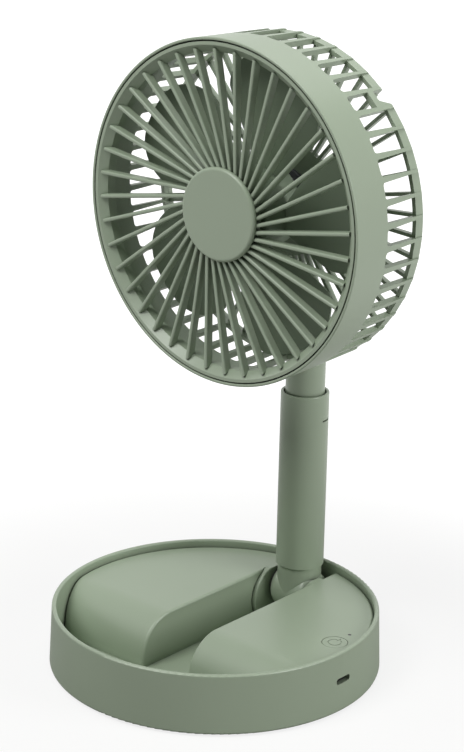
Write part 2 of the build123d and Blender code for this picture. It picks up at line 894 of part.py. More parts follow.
# Cutters for the cage, drawn at the top of the head with its axis along Z
bar_pitch = 360 / bar_count
recess_radius = head_lip_radius - lip_wall
band_inner = shell_radius(band_depth) - band_wall
ring_front = head_depth - rear_ring_depth
notch_front = head_depth - notch_depth
side_plane = Plane(
    origin=(0, cage_rear_radius - cage_thickness - overrun, 0), x_dir=(-1, 0, 0), z_dir=(0, 1, 0)
)


def slot_half(depth, bar_width):
    """Half the width of the slot between two bars at a depth behind the lip."""
    return shell_radius(depth) * tan(radians(bar_pitch / 2)) - bar_width / 2


def side_slot(rear_depth):
    """Cutter for one slot in the side of the cage, from the band to a depth."""
    share = (rear_depth - band_depth) / (ring_front - band_depth)
    rear_bar = bar_front_width + (bar_rear_width - bar_front_width) * share
    front_half = slot_half(band_depth, bar_front_width)
    rear_half = slot_half(rear_depth, rear_bar)
    with BuildPart() as cutter:
        with BuildSketch(side_plane):
            with BuildLine():
                FilletPolyline(
                    (-rear_half, rear_depth),
                    (-front_half, band_depth),
                    (front_half, band_depth),
                    (rear_half, rear_depth),
                    radius=slot_round,
                )
                Line((rear_half, rear_depth), (-rear_half, rear_depth))
            make_face()
        extrude(amount=head_lip_radius)
    return cutter.part


def ring_recess():
    """Cutter that sets the rear ring back a little between two bars."""
    front_half = slot_half(ring_front, bar_rear_width)
    rear_half = slot_half(head_depth, bar_rear_width)
    with BuildPart() as cutter:
        with BuildSketch(side_plane.offset(cage_thickness + overrun - ring_relief)):
            with BuildLine():
                Polyline(
                    (-front_half, ring_front - overrun),
                    (front_half, ring_front - overrun),
                    (rear_half, head_depth + overrun),
                    (-rear_half, head_depth + overrun),
                    close=True,
                )
            make_face()
        extrude(amount=head_lip_radius)
    return cutter.part


def rear_slot():
    """Cutter for one slot in the rear face, between two radial bars."""
    inner = hub_plate_radius
    outer = cage_rear_radius - cage_thickness
    half_angle = radians(bar_pitch / 2)
    inner_half = inner * sin(half_angle) - bar_rear_width / 2
    outer_half = outer * sin(half_angle) - bar_rear_width / 2
    with BuildPart() as cutter:
        with BuildSketch(Plane.XY.offset(ring_front)):
            with BuildLine():
                Polyline(
                    (-inner_half, inner),
                    (inner_half, inner),
                    (outer_half, outer * cos(half_angle)),
                    (-outer_half, outer * cos(half_angle)),
                    close=True,
                )
            make_face()
        extrude(amount=rear_ring_depth + overrun)
    return cutter.part


def finger_notch():
    """Cutter for the notch in the rear ring, with one slanting side."""
    rear_half = slot_half(head_depth, bar_rear_width)
    floor_half = slot_half(notch_front, bar_rear_width)
    with BuildPart() as cutter:
        with BuildSketch(side_plane):
            with BuildLine():
                FilletPolyline(
                    (rear_half, head_depth + overrun),
                    (rear_half, head_depth),
                    (floor_half - notch_slant, notch_front),
                    (-floor_half, notch_front),
                    (-rear_half, head_depth + overrun),
                    radius=notch_round,
                )
                Line((-rear_half, head_depth + overrun), (rear_half, head_depth + overrun))
            make_face()
        extrude(amount=head_lip_radius)
    return cutter.part


# Head housing: thin band, cage of bars, rear face with the hinge pad, in one piece
pad_middle = head_z - tilt_z - pad_height / 2 + pad_drop
with BuildPart(head_plane) as head_housing:
    with BuildSketch(head_section):
        with BuildLine():
            Polyline(
                (shell_radius(recess_depth), recess_depth),
                (cage_rear_radius, head_depth),
                (0, head_depth),
                (0, head_depth - hub_plate_thickness),
                (cage_rear_radius - cage_thickness, head_depth - hub_plate_thickness),
                (shell_radius(recess_depth) - cage_thickness, recess_depth),
                close=True,
            )
        make_face()
    revolve(axis=head_axis)
    fillet(head_housing.edges().group_by(Axis.Y)[-1], cage_rear_round)
    with PolarLocations(
        0,
        bar_count - 1,
        start_angle=notch_angle + bar_pitch,
        angular_range=360 - 2 * bar_pitch,
        endpoint=True,
    ):
        add(side_slot(ring_front), mode=Mode.SUBTRACT)
        add(ring_recess(), mode=Mode.SUBTRACT)
    with PolarLocations(0, 1, start_angle=notch_angle):
        add(side_slot(notch_front - notch_bar), mode=Mode.SUBTRACT)
        add(finger_notch(), mode=Mode.SUBTRACT)
    with PolarLocations(0, bar_count):
        add(rear_slot(), mode=Mode.SUBTRACT)
    with BuildSketch(head_section):
        with BuildLine():
            Polyline(
                (head_lip_radius, 0),
                (shell_radius(band_depth), band_depth),
                (band_inner, band_depth),
                (band_inner, recess_depth),
                (recess_radius, recess_depth),
                (recess_radius, 0),
                close=True,
            )
        make_face()
    revolve(axis=head_axis)
    fillet(head_housing.edges().group_by(Axis.Y)[0], lip_round)
    with BuildSketch(head_plane.offset(head_depth - pad_depth)):
        with Locations((0, -pad_middle)):
            RectangleRounded(pad_width, pad_height, pad_round)
    extrude(amount=pad_depth)
    with BuildSketch(head_plane.offset(head_depth)):
        with Locations((0, tilt_z + bracket_screw_high - head_z)):
            with GridLocations(0, pad_screw_spread, 1, 2):
                Circle(bracket_screw_radius + seat_fit)
        with PolarLocations(motor_screw_circle, motor_screw_count):
            Circle(motor_screw_radius + seat_fit)
    extrude(amount=-pad_depth / 2, mode=Mode.SUBTRACT)

# Front grille: beveled ring, skewed straight vanes and a hub
ring_outer = recess_radius - grille_gap
bevel_outer = ring_outer - bevel_out
bevel_inner = bevel_outer - bevel_width
bevel_rear = grille_front + bevel_depth
vane_start = sqrt((grille_hub_radius - vane_thickness) ** 2 - vane_skew**2)
vane_rim = sqrt((bevel_outer - bevel_out) ** 2 - vane_skew**2)
vane_foot = sqrt((bevel_inner + grille_wall / 2) ** 2 - vane_skew**2)

with BuildPart() as vane:
    with BuildSketch(
        Plane(origin=(-vane_skew - vane_thickness / 2, 0, 0), x_dir=(0, 1, 0), z_dir=(1, 0, 0))
    ):
        with BuildLine():
            Polyline(
                (vane_start, vane_hub_front),
                (vane_rim, vane_front),
                (vane_foot, bevel_rear),
                (vane_foot, vane_rear),
                (vane_start, vane_hub_rear),
                close=True,
            )
        make_face()
    extrude(amount=vane_thickness)
    front_edges = vane.faces().sort_by(Axis.Z)[0].edges().sort_by(SortBy.LENGTH)[-2:]
    fillet(front_edges, vane_round)

with BuildPart(head_plane) as front_grille:
    with BuildSketch(head_section):
        with BuildLine():
            Polyline(
                (ring_outer, grille_front),
                (ring_outer, recess_depth),
                (ring_outer - grille_wall, recess_depth),
                (ring_outer - grille_wall, bevel_rear),
                (bevel_inner + grille_wall, bevel_rear + grille_wall),
                (bevel_inner + grille_wall, recess_depth),
                (bevel_inner, recess_depth),
                (bevel_inner, bevel_rear),
                (bevel_outer, grille_front),
                close=True,
            )
        make_face()
    revolve(axis=head_axis)
    with BuildSketch(head_plane.offset(grille_hub_front)):
        Circle(grille_hub_radius)
        Circle(cap_spigot_radius + seat_fit, mode=Mode.SUBTRACT)
    extrude(amount=grille_hub_rear - grille_hub_front)
    with PolarLocations(0, vane_count, start_angle=vane_phase):
        add(vane.part)

# Hub cap: a plain rounded disc with a spigot in the grille's hub
with BuildPart() as hub_cap:
    with BuildSketch(head_plane.offset(grille_hub_front)):
        Circle(cap_radius)
    extrude(amount=-cap_thickness)
    fillet(hub_cap.edges().group_by(Axis.Y)[0], cap_round)
    with BuildSketch(head_plane.offset(grille_hub_front)):
        Circle(cap_spigot_radius)
    extrude(amount=cap_spigot_depth)

# Rotor: the impeller with its hub, then the motor's turning pieces
rotor_front = vane_rear + rotor_gap
blade_tip_radius = band_inner - blade_tip_gap
blade_depth = rotor_front + blade_setback
blade_sections = [
    (impeller_hub_radius - impeller_wall, blade_root_chord, blade_root_pitch, blade_root_camber),
    ((impeller_hub_radius + band_inner) / 2, blade_mid_chord, blade_mid_pitch, blade_mid_camber),
    (band_inner, blade_tip_chord, blade_tip_pitch, blade_tip_camber),
]

with BuildPart() as blade:
    for radius, chord, pitch, camber in blade_sections:
        section = Plane(origin=(0, radius, blade_depth), x_dir=(1, 0, 0), z_dir=(0, 1, 0))
        with BuildSketch(section.rotated((0, 0, pitch))):
            with BuildLine():
                ThreePointArc(
                    (-chord / 2, blade_edge / 2),
                    (0, camber + blade_thickness / 2),
                    (chord / 2, blade_edge / 2),
                )
                Line((chord / 2, blade_edge / 2), (chord / 2, -blade_edge / 2))
                ThreePointArc(
                    (chord / 2, -blade_edge / 2),
                    (0, camber - blade_thickness / 2),
                    (-chord / 2, -blade_edge / 2),
                )
                Line((-chord / 2, -blade_edge / 2), (-chord / 2, blade_edge / 2))
            make_face()
    loft()
    with BuildSketch(Plane.XY.offset(blade_depth)) as blade_outline:
        with BuildLine():
            tip = CenterArc((0, 0), blade_tip_radius, 90 - blade_span / 2, blade_span)
            Polyline(tip @ 1, (0, 0), tip @ 0)
        make_face()
        fillet(blade_outline.vertices().sort_by(Axis.Y)[1:], blade_corner)
        Circle(impeller_hub_radius - impeller_wall / 2, mode=Mode.SUBTRACT)
    extrude(amount=head_depth, both=True, mode=Mode.INTERSECT)

with BuildPart(head_plane) as impeller:
    with BuildSketch(head_plane.offset(rotor_front)):
        Circle(impeller_hub_radius)
    extrude(amount=impeller_hub_depth)
    fillet(impeller.edges().group_by(Axis.Y)[0], impeller_hub_round)
    with BuildSketch(head_plane.offset(rotor_front + impeller_wall)):
        Circle(impeller_hub_radius - impeller_wall)
    extrude(amount=impeller_hub_depth, mode=Mode.SUBTRACT)
    with PolarLocations(0, blade_count, start_angle=blade_phase):
        add(blade.part)

# Rotor can, magnet ring and shaft
can_front = rotor_front + impeller_wall
can_radius = impeller_hub_radius - impeller_wall - seat_fit
magnet_radius = can_radius - can_wall - seat_fit
magnet_front = can_front + can_depth - magnet_depth - can_wall
post_front = magnet_front
hub_plate_front = head_depth - hub_plate_thickness
flange_front = hub_plate_front - motor_flange

with BuildPart() as rotor_can:
    with BuildSketch(head_plane.offset(can_front)):
        Circle(can_radius)
    extrude(amount=can_depth)
    with BuildSketch(head_plane.offset(can_front + can_wall)):
        Circle(can_radius - can_wall)
    extrude(amount=can_depth, mode=Mode.SUBTRACT)
    with BuildSketch(head_plane.offset(can_front)):
        Circle(bearing_radius)
    extrude(amount=post_front - can_front - bearing_gap)
    with BuildSketch(head_plane.offset(can_front)):
        Circle(shaft_radius + seat_fit)
    extrude(amount=can_depth, mode=Mode.SUBTRACT)

with BuildPart() as magnet_ring:
    with BuildSketch(head_plane.offset(magnet_front)):
        Circle(magnet_radius)
        Circle(magnet_radius - magnet_thickness, mode=Mode.SUBTRACT)
    extrude(amount=magnet_depth)

with BuildPart() as motor_shaft:
    with BuildSketch(head_plane.offset(can_front)):
        Circle(shaft_radius)
    extrude(amount=flange_front - can_front)

# Motor mount: a flange on the rear face with a post for the bearings
with BuildPart() as motor_mount:
    with BuildSketch(head_plane.offset(flange_front)):
        Circle(motor_flange_radius)
    extrude(amount=motor_flange)
    with BuildSketch(head_plane.offset(post_front)):
        Circle(bearing_post_radius)
    extrude(amount=flange_front - post_front)
    with BuildSketch(head_plane.offset(post_front)):
        Circle(bearing_radius + seat_fit)
    extrude(amount=head_depth, mode=Mode.SUBTRACT)
    with BuildSketch(head_plane.offset(flange_front)):
        with PolarLocations(motor_screw_circle, motor_screw_count):
            Circle(motor_screw_radius + seat_fit)
    extrude(amount=motor_flange, mode=Mode.SUBTRACT)

with BuildPart() as motor_screws:
    with BuildSketch(head_plane.offset(flange_front)):
        with PolarLocations(motor_screw_circle, motor_screw_count):
            Circle(motor_screw_head_radius)
    extrude(amount=-motor_screw_head)
    with BuildSketch(head_plane.offset(flange_front)):
        with PolarLocations(motor_screw_circle, motor_screw_count):
            Circle(motor_screw_radius)
    extrude(amount=motor_screw_length)

with BuildPart() as motor_bearings:
    for start in (post_front, flange_front - bearing_width):
        with BuildSketch(head_plane.offset(start)):
            Circle(bearing_radius)
            Circle(shaft_radius + running_fit, mode=Mode.SUBTRACT)
        extrude(amount=bearing_width)

# Stator: a slotted core on the post, inside the magnet ring
stator_radius = magnet_radius - magnet_thickness - air_gap
stator_front = magnet_front + (magnet_depth - stator_depth) / 2
with BuildPart() as motor_stator:
    with BuildSketch(head_plane.offset(stator_front)):
        Circle(stator_radius)
        Circle(bearing_post_radius + seat_fit, mode=Mode.SUBTRACT)
        with PolarLocations(stator_radius, stator_slots):
            Rectangle(2 * stator_slot_depth, stator_slot_width, mode=Mode.SUBTRACT)
    extrude(amount=stator_depth)

pieces = {
    "base_shell": base_shell,
    "rubber_feet": rubber_feet,
    "left_pod": left_pod,
    "right_pod": right_pod,
    "base_screws": base_screws,
    "battery_cells": battery_cells,
    "battery_cradle": battery_cradle,
    "battery_tabs": battery_tabs,
    "control_board": control_board,
    "board_screws": board_screws,
    "usb_socket": usb_socket,
    "power_button": power_button,
    "button_switch": button_switch,
    "led_lens": led_lens,
    "pole_hinge_pin": pole_hinge_pin,
    "pole_hinge_washers": pole_hinge_washers,
    "pole_hinge_clips": pole_hinge_clips,
    "pole_knuckle": pole_knuckle,
    "outer_tube": outer_tube,
    "tube_screw": tube_screw,
    "mast_bush": mast_bush,
    "mast_tube": mast_tube,
    "mast_foot": mast_foot,
    "mast_head": mast_head,
    "tilt_pin": tilt_pin,
    "tilt_hubs": tilt_hubs,
    "tilt_caps": tilt_caps,
    "tilt_bracket": tilt_bracket,
    "bracket_screws": bracket_screws,
    "head_housing": head_housing,
    "front_grille": front_grille,
    "hub_cap": hub_cap,
    "impeller": impeller,
    "rotor_can": rotor_can,
    "magnet_ring": magnet_ring,
    "motor_shaft": motor_shaft,
    "motor_mount": motor_mount,
    "motor_screws": motor_screws,
    "motor_bearings": motor_bearings,
    "motor_stator": motor_stator,
}
for name, piece in pieces.items():
    piece.part.label = name
    export_step(piece.part, f"parts/{name}.step")
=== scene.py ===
"""Folding fan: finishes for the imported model, its small fittings, the light and the camera."""

import logging
import math
from dataclasses import dataclass, field
from enum import Enum
from typing import Any

import bmesh
import bpy
from mathutils import Matrix, Vector


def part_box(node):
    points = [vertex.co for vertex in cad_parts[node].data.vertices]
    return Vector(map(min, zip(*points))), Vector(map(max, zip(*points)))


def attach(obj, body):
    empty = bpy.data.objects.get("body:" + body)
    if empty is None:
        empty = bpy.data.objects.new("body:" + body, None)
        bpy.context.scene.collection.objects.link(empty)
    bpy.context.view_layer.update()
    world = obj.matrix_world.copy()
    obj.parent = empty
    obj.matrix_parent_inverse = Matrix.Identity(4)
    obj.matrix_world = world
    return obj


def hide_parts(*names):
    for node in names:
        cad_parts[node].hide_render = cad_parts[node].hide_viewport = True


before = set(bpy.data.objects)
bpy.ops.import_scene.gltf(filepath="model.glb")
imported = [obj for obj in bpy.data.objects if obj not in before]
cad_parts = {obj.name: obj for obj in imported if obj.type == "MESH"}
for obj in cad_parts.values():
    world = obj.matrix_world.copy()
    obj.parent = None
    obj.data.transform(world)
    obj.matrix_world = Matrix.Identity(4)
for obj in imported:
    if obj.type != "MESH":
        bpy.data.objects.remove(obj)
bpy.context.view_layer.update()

MM = 0.001
PHOTO_HEIGHT_PX = 752
SENSOR_MM = 36.0
WHITE = (1.0, 1.0, 1.0, 1.0)

# The sRGB curve: a straight part up to the knee, a power above it.
SRGB_KNEE = 0.04045
SRGB_SLOPE = 12.92
SRGB_LIFT = 0.055
SRGB_POWER = 2.4

# The colour sockets of a mix node, which has a set of sockets for each kind of data.
MIX_FIRST = 6
MIX_SECOND = 7
MIX_RESULT = 2

# Octaves of the noise patterns, and how much each octave keeps of the one before.
CLOUD_DETAIL = 3.0
CLOUD_KEEP = 0.5
PATCH_DETAIL = 4.0
PATCH_KEEP = 0.6
GRIT_DETAIL = 2.0
GRIT_KEEP = 0.55

# Patches of sheen are a third as large as the clouds of tone.
PATCHES_PER_CLOUD = 3
# Brushing draws the pattern out along Z.
BRUSHED_STRETCH = (1.0, 1.0, 0.06)
EVEN_STRETCH = (1.0, 1.0, 1.0)
# How strongly the fine relief is drawn.
SPARKED_RELIEF = 1.0
SOFT_RELIEF = 0.5
EDGE_SAMPLES = 6
SEAM_SAMPLES = 8
# Painted shade in seams and corners: a spot that sees this share of its surroundings gets none.
SEAM_OPEN = 0.7

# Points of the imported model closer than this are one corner.
WELD_MM = 0.005
# Points beyond this share of the widest radius are on a screw's head.
HEAD_SHARE = 0.95
# Points within this share of a screw's length from its tip are on its shank.
TIP_SHARE = 0.05
HEAD_SIDES = 40
SHANK_SIDES = 24
# Tip to tip of the cross recess, as a share of the head's radius.
SLOT_REACH = 1.15
# The arms that cut the recess stand as far above the head's top as they go below it.
BOTH_SIDES = 2.0
# A shape made round the origin lies under it once it has dropped by half its height.
HALF_DOWN = -0.5

log = logging.getLogger("folding_fan")


class Facing(Enum):
    """Which way a screw's head looks."""

    UP = (0.0, 0.0, 1.0)
    DOWN = (0.0, 0.0, -1.0)
    FRONT = (0.0, -1.0, 0.0)
    BACK = (0.0, 1.0, 0.0)


class Grain(Enum):
    """How the surface was made, which sets the way its fine pattern runs."""

    SPARKED = "left by a spark-eroded mould"
    BRUSHED = "drawn or rolled along one way"
    PLAIN = "smooth and only a little uneven"


def linear(colour: str) -> tuple[float, float, float, float]:
    """Turn an sRGB hex colour into linear values.

    Args:
        colour: Six hex digits after a hash sign.

    Returns:
        Red, green, blue and an alpha of 1.
    """
    shares = [int(colour[place : place + 2], 16) / 255 for place in (1, 3, 5)]
    red, green, blue = (
        share / SRGB_SLOPE
        if share <= SRGB_KNEE
        else ((share + SRGB_LIFT) / (1 + SRGB_LIFT)) ** SRGB_POWER
        for share in shares
    )
    return (red, green, blue, 1.0)


def shaded(colour: str, share: float) -> tuple[float, float, float, float]:
    """Make a colour lighter or darker.

    Args:
        colour: Six hex digits after a hash sign.
        share: What the linear values are multiplied by.

    Returns:
        Linear red, green, blue and alpha.
    """
    red, green, blue, alpha = linear(colour)
    return (red * share, green * share, blue * share, alpha)


def add_node(
    tree: bpy.types.NodeTree,
    kind: str,
    settings: dict[str, Any] | None = None,
    values: dict[Any, Any] | None = None,
    links: dict[Any, bpy.types.NodeSocket] | None = None,
) -> bpy.types.Node:
    """Add one node to a tree, set it up and link its inputs.

    Args:
        tree: The tree that gets the node.
        kind: The node's type name.
        settings: Properties of the node itself.
        values: Constant values by input name or place.
        links: Sockets to link from, by input name or place.

    Returns:
        The new node.
    """
    node = tree.nodes.new(kind)
    for name, value in (settings or {}).items():
        setattr(node, name, value)
    for name, value in (values or {}).items():
        node.inputs[name].default_value = value
    for name, socket in (links or {}).items():
        tree.links.new(socket, node.inputs[name])
    return node


@dataclass(frozen=True)
class Finish:
    """One real material and the surface it was given.

    Attributes:
        name: What the material is.
        colour: Its sRGB colour.
        roughness: How matt it is.
        ior: Index of refraction, which sets the gloss of what isn't metal.
        metallic: 1 for bare metal, otherwise 0.
        grain: How the surface was made.
        grit_mm: Size of the fine pattern.
        grit_depth_mm: Height of the fine pattern.
        cloud_mm: Size of the slow change in tone.
        cloud_share: How much the tone changes.
        rough_share: How much the roughness changes.
        edge_mm: Radius that the mould or the tumbling gave to the edges.
        seam_mm: How far from a seam or a corner the painted shade reaches.
        seam_share: How much colour is left where the painted shade is deepest.
    """

    name: str
    colour: str
    roughness: float
    ior: float = 1.5
    metallic: float = 0.0
    grain: Grain = Grain.PLAIN
    grit_mm: float = 0.6
    grit_depth_mm: float = 0.004
    cloud_mm: float = 40.0
    cloud_share: float = 0.03
    rough_share: float = 0.08
    edge_mm: float = 0.25
    seam_mm: float = 6.0
    seam_share: float = 0.35

    def material(self) -> bpy.types.Material:
        """Make the material, or return it if it was made before.

        Returns:
            The material, named for what it is.
        """
        known = bpy.data.materials.get(self.name)
        if known:
            return known
        made = bpy.data.materials.new(self.name)
        made.use_nodes = True
        tree = made.node_tree
        tree.nodes.clear()
        where = add_node(tree, "ShaderNodeTexCoord").outputs["Object"]
        tone = self._tone(tree, where)
        rough = self._roughness(tree, where)
        normal = self._grain(tree, where)
        surface = add_node(
            tree,
            "ShaderNodeBsdfPrincipled",
            values={"Metallic": self.metallic, "IOR": self.ior},
            links={"Base Color": tone, "Roughness": rough, "Normal": normal},
        )
        add_node(tree, "ShaderNodeOutputMaterial", links={"Surface": surface.outputs["BSDF"]})
        return made

    def _tone(self, tree: bpy.types.NodeTree, where: bpy.types.NodeSocket) -> bpy.types.NodeSocket:
        """Add the slow change in tone and the painted shade that darkens seams and corners.

        Args:
            tree: The material's tree.
            where: Object coordinates.

        Returns:
            The colour socket.
        """
        cloud = add_node(
            tree,
            "ShaderNodeTexNoise",
            values={
                "Scale": 1 / (self.cloud_mm * MM),
                "Detail": CLOUD_DETAIL,
                "Roughness": CLOUD_KEEP,
            },
            links={"Vector": where},
        )
        mix = add_node(
            tree,
            "ShaderNodeMix",
            settings={"data_type": "RGBA"},
            values={
                MIX_FIRST: shaded(self.colour, 1 - self.cloud_share),
                MIX_SECOND: shaded(self.colour, 1 + self.cloud_share),
            },
            links={0: cloud.outputs["Fac"]},
        )
        # Painted shade: an occlusion pass darkens the colour in seams, creases and corners, where
        # shade falls.
        corner = add_node(
            tree,
            "ShaderNodeAmbientOcclusion",
            settings={"samples": SEAM_SAMPLES},
            values={"Distance": self.seam_mm * MM},
        )
        painted_shade = add_node(
            tree,
            "ShaderNodeMapRange",
            values={"From Max": SEAM_OPEN, "To Min": self.seam_share},
            links={"Value": corner.outputs["AO"]},
        )
        tone_with_painted_shade = add_node(
            tree,
            "ShaderNodeVectorMath",
            settings={"operation": "SCALE"},
            links={0: mix.outputs[MIX_RESULT], "Scale": painted_shade.outputs["Result"]},
        )
        return tone_with_painted_shade.outputs[0]

    def _roughness(
        self, tree: bpy.types.NodeTree, where: bpy.types.NodeSocket
    ) -> bpy.types.NodeSocket:
        """Add the uneven sheen that handling and moulding leave.

        Args:
            tree: The material's tree.
            where: Object coordinates.

        Returns:
            The roughness socket.
        """
        patch = add_node(
            tree,
            "ShaderNodeTexNoise",
            values={
                "Scale": PATCHES_PER_CLOUD / (self.cloud_mm * MM),
                "Detail": PATCH_DETAIL,
                "Roughness": PATCH_KEEP,
            },
            links={"Vector": where},
        )
        spread = add_node(
            tree,
            "ShaderNodeMapRange",
            values={
                "To Min": self.roughness * (1 - self.rough_share),
                "To Max": self.roughness * (1 + self.rough_share),
            },
            links={"Value": patch.outputs["Fac"]},
        )
        return spread.outputs["Result"]

    def _grain(self, tree: bpy.types.NodeTree, where: bpy.types.NodeSocket) -> bpy.types.NodeSocket:
        """Add the fine relief over softly rounded edges.

        Args:
            tree: The material's tree.
            where: Object coordinates.

        Returns:
            The normal socket.
        """
        stretch = BRUSHED_STRETCH if self.grain is Grain.BRUSHED else EVEN_STRETCH
        placed = add_node(
            tree, "ShaderNodeMapping", values={"Scale": stretch}, links={"Vector": where}
        )
        grit = add_node(
            tree,
            "ShaderNodeTexNoise",
            values={
                "Scale": 1 / (self.grit_mm * MM),
                "Detail": GRIT_DETAIL,
                "Roughness": GRIT_KEEP,
            },
            links={"Vector": placed.outputs["Vector"]},
        )
        edge = add_node(
            tree,
            "ShaderNodeBevel",
            settings={"samples": EDGE_SAMPLES},
            values={"Radius": self.edge_mm * MM},
        )
        bump = add_node(
            tree,
            "ShaderNodeBump",
            values={
                "Strength": SPARKED_RELIEF if self.grain is Grain.SPARKED else SOFT_RELIEF,
                "Distance": self.grit_depth_mm * MM,
            },
            links={"Height": grit.outputs["Fac"], "Normal": edge.outputs["Normal"]},
        )
        return bump.outputs["Normal"]


# ABS moulded in a spark-eroded tool: an even satin with a very fine tooth. The tooth of 0.1 mm
# is drawn six times as coarse, so that it shows.
SAGE_ABS = Finish(
    "sage ABS, satin moulded", "#9aa892", roughness=0.35, ior=1.53, grain=Grain.SPARKED
)
# Polypropylene blades from a smoother tool; their sage is darkened to paint the shade inside the
# grille.
BLADE_SAGE_PAINTED_SHADE = Finish(
    "sage polypropylene, moulded", "#788671", roughness=0.5, ior=1.49, cloud_mm=60.0
)
# Glass-filled nylon: black, dry and slightly mottled.
BLACK_NYLON = Finish(
    "black nylon, moulded",
    "#2a2b2b",
    roughness=0.55,
    ior=1.53,
    grain=Grain.SPARKED,
    cloud_share=0.12,
)
# Pressed rubber feet: matt, with a dusty bloom.
GREY_RUBBER = Finish(
    "grey rubber, pressed",
    "#3b3d3b",
    roughness=0.85,
    ior=1.52,
    cloud_mm=6.0,
    cloud_share=0.15,
)
# Zinc plating on steel: bright, with a slightly yellow haze.
ZINC_STEEL = Finish(
    "zinc plated steel",
    "#c3c4c1",
    roughness=0.32,
    metallic=1.0,
    grain=Grain.BRUSHED,
    grit_mm=0.3,
)
# Nickel plating on rolled strip: warm and fairly bright.
NICKEL = Finish(
    "nickel plated strip",
    "#c9c4b8",
    roughness=0.24,
    metallic=1.0,
    grain=Grain.BRUSHED,
    grit_mm=0.3,
)
# The deep-drawn socket is coloured near black to paint the shade in its mouth, so that it reads as
# a black slot.
SOCKET_PAINTED_SHADE = Finish("drawn steel darkened as painted shade", "#19191b", roughness=0.6, grit_mm=0.3)
# Gold flash on the socket's contacts: thin bright lines deep in the dark mouth.
GOLD = Finish("gold flashed copper", "#d9b25e", roughness=0.25, metallic=1.0, grit_mm=0.2)
# Shrunk PVC sleeve: glossy and slightly wavy.
CELL_SLEEVE = Finish(
    "blue PVC sleeve, shrunk",
    "#1f6f9e",
    roughness=0.28,
    ior=1.54,
    grit_mm=3.0,
    grit_depth_mm=0.03,
)
# Solder mask over glass laminate: a smooth, deep green sheen.
LAMINATE = Finish(
    "green solder mask on laminate", "#1f5a3a", roughness=0.35, ior=1.55, grit_mm=0.5
)
# Switch bodies are moulded in a plain black plastic: dark, with a soft sheen.
SWITCH_PLASTIC = Finish("black PBT, moulded", "#1c1c1d", roughness=0.5, ior=1.55)
# A smoked light pipe looks almost black while the light is off.
LIGHT_PIPE = Finish(
    "smoked polycarbonate, polished", "#1b1e1b", roughness=0.12, ior=1.585, grit_depth_mm=0.001
)
# Deep-drawn rotor can and stacked stator sheets: grey metal with fine lines drawn along it.
CAN_STEEL = Finish(
    "drawn steel, lightly oiled", "#8d8f92", roughness=0.38, metallic=1.0, grain=Grain.BRUSHED
)
# Pressed ferrite: dark grey and grainy.
FERRITE = Finish(
    "ferrite, pressed",
    "#3c3d40",
    roughness=0.7,
    ior=1.9,
    grit_mm=0.25,
    cloud_mm=5.0,
    cloud_share=0.1,
)
# Die-cast motor mount, chromated: a dull mid grey that stays quiet behind the blades.
CAST_ALLOY = Finish("zinc alloy, die cast", "#77797b", roughness=0.5, metallic=1.0, grit_mm=0.5)


def dress(nodes: dict[str, Finish]) -> list[str]:
    """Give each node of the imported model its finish.

    Args:
        nodes: Finish by node name.

    Returns:
        The names of the dressed nodes.
    """
    for name, finish in nodes.items():
        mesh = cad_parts[name].data
        mesh.materials.clear()
        mesh.materials.append(finish.material())
    return list(nodes)


def loose_parts(name: str) -> list[list[Vector]]:
    """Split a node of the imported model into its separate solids, in the same order each run.

    Args:
        name: The node.

    Returns:
        The points of each solid.
    """
    shell = bmesh.new()
    shell.from_mesh(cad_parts[name].data)
    bmesh.ops.remove_doubles(shell, verts=shell.verts, dist=WELD_MM * MM)
    waiting = dict.fromkeys(shell.verts)
    parts: list[list[Vector]] = []
    while waiting:
        reached = [waiting.popitem()[0]]
        points: list[Vector] = []
        while reached:
            corner = reached.pop()
            points.append(corner.co.copy())
            for edge in corner.link_edges:
                other = edge.other_vert(corner)
                if other in waiting:
                    del waiting[other]
                    reached.append(other)
        parts.append(points)
    shell.free()
    return parts


@dataclass(frozen=True)
class ScrewSize:
    """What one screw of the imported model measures, in metres.

    Attributes:
        top: The middle of the head's top.
        head_radius: Radius of the head.
        head_height: Height of the head.
        shank_radius: Radius of the shank.
        length: From the head's top to the tip.
    """

    top: Vector
    head_radius: float
    head_height: float
    shank_radius: float
    length: float


def measure_screw(points: list[Vector], facing: Facing) -> ScrewSize:
    """Measure a plain screw, so that its detailed copy fills the same seat.

    Args:
        points: The screw's own points.
        facing: Which way its head looks.

    Returns:
        The middle of its top and its sizes.
    """
    out = Vector(facing.value)
    low = Vector([min(p[i] for p in points) for i in range(3)])
    high = Vector([max(p[i] for p in points) for i in range(3)])
    middle = (low + high) / 2
    heights = [(p - middle).dot(out) for p in points]
    radii = [((p - middle) - out * h).length for p, h in zip(points, heights)]
    top, bottom = max(heights), min(heights)
    widest = max(radii)
    tip = bottom + (top - bottom) * TIP_SHARE
    under = min(h for h, r in zip(heights, radii) if r > widest * HEAD_SHARE)
    shank = max(r for h, r in zip(heights, radii) if h < tip)
    return ScrewSize(middle + out * top, widest, top - under, shank, top - bottom)


def open_tree(name: str, inputs: dict[str, str], output: str) -> bpy.types.NodeTree:
    """Start a geometry tree with its inputs and its one output.

    Args:
        name: Name of the tree.
        inputs: Type of socket by input name.
        output: Name of the geometry that comes out.

    Returns:
        The tree, still without nodes.
    """
    tree = bpy.data.node_groups.new(name, "GeometryNodeTree")
    for title, kind in inputs.items():
        tree.interface.new_socket(title, in_out="INPUT", socket_type=kind)
    tree.interface.new_socket(output, in_out="OUTPUT", socket_type="NodeSocketGeometry")
    return tree


def close_tree(
    tree: bpy.types.NodeTree, copies: bpy.types.NodeSocket, finish: bpy.types.NodeSocket
) -> None:
    """Turn the copies into plain mesh, dress them and hand them out.

    Args:
        tree: The tree.
        copies: The instances.
        finish: The material.
    """
    real = add_node(tree, "GeometryNodeRealizeInstances", links={0: copies})
    dressed = add_node(
        tree,
        "GeometryNodeSetMaterial",
        links={"Geometry": real.outputs[0], "Material": finish},
    )
    add_node(tree, "NodeGroupOutput", links={0: dressed.outputs[0]})


